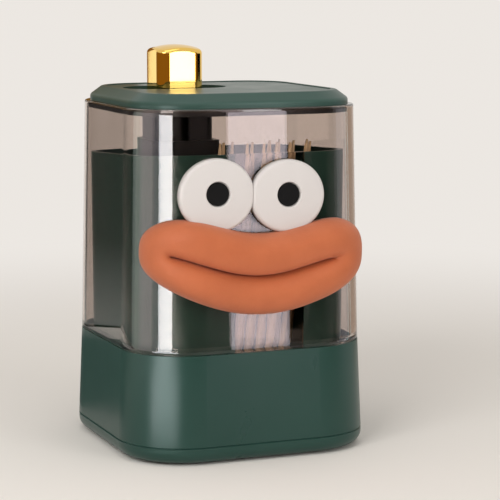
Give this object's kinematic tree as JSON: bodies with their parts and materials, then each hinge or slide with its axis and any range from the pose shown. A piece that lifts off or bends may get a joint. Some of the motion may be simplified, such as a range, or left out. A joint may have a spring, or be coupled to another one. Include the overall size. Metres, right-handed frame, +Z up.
{
  "type": "toothpick dispenser",
  "caption": "Square toothpick dispenser with a smoky clear window, comic eyes and lips on the front, and a push button in the lift-off lid that raises one toothpick.",
  "frame": {"origin": "middle of the whole footprint, lips included, on the plane that the rubber feet stand on", "axes": "+Z up; the face with the eyes and lips looks along -Y; +X is to the right as seen from the front"},
  "size_m": [0.072, 0.078, 0.113],
  "materials": {
    "green_shell": "moulded plastic with a satin sparkle",
    "green_gloss": "glossy moulded plastic",
    "smoky_clear": "clear smoke-tinted plastic",
    "black_plastic": "moulded black plastic",
    "gear_plastic": "slippery natural white plastic",
    "gold_plate": "mirror gold plating on plastic",
    "white_eye": "matte off-white",
    "lip_rubber": "soft matte terracotta",
    "rubber": "matte black rubber",
    "steel": "bright steel",
    "wood": "bare pale wood"
  },
  "bodies": {
    "housing": {"base_skirt": "green_shell", "bottom_cover": "green_shell", "rubber_feet": "rubber", "base_screws": "steel", "tower_screws": "steel", "window_sleeve": "smoky_clear", "hopper_bin": "green_shell", "hopper_pane": "smoky_clear", "tower_front": "black_plastic", "tower_back": "black_plastic", "gear_axle": "steel", "return_spring": "steel", "toothpicks": "wood", "left_eye": "white_eye", "right_eye": "white_eye", "left_pupil": "black_plastic", "right_pupil": "black_plastic", "lips": "lip_rubber"},
    "lid": {"lid_shell": "green_gloss", "lid_liner": "black_plastic", "lid_screws": "steel"},
    "button": {"button_cap": "gold_plate", "button_stem": "black_plastic"},
    "carriage": {"rack_carriage": "gear_plastic"},
    "gear": {"drive_gear": "gear_plastic"},
    "lift": {"lifter": "gear_plastic", "served_toothpick": "wood"}
  },
  "joints": [
    {"name": "lid_lift", "type": "slide", "parent": "housing", "child": "lid", "axis": [0, 0, 1], "range_m": [0, 0.06]},
    {"name": "button_press", "type": "slide", "parent": "lid", "child": "button", "axis": [0, 0, -1], "range_m": [0, 0.01], "stiffness_N_per_m": 120, "springref_m": -0.005},
    {"name": "carriage_slide", "type": "slide", "parent": "housing", "child": "carriage", "axis": [0, 0, -1], "range_m": [0, 0.01], "deforming": ["return_spring"]},
    {"name": "gear_turn", "type": "hinge", "parent": "housing", "child": "gear", "pos_m": [-0.0109, 0.011, 0.04], "axis": [0, -1, 0], "range_deg": [0, 230]},
    {"name": "lifter_rise", "type": "slide", "parent": "housing", "child": "lift", "axis": [0, 0, 1], "range_m": [0, 0.025]}
  ],
  "couplings": [
    {"joint": "carriage_slide", "follows": "button_press", "ratio": 1},
    {"joint": "gear_turn", "follows": "button_press", "rad_per_m": 400},
    {"joint": "lifter_rise", "follows": "button_press", "ratio": 2.5}
  ]
}
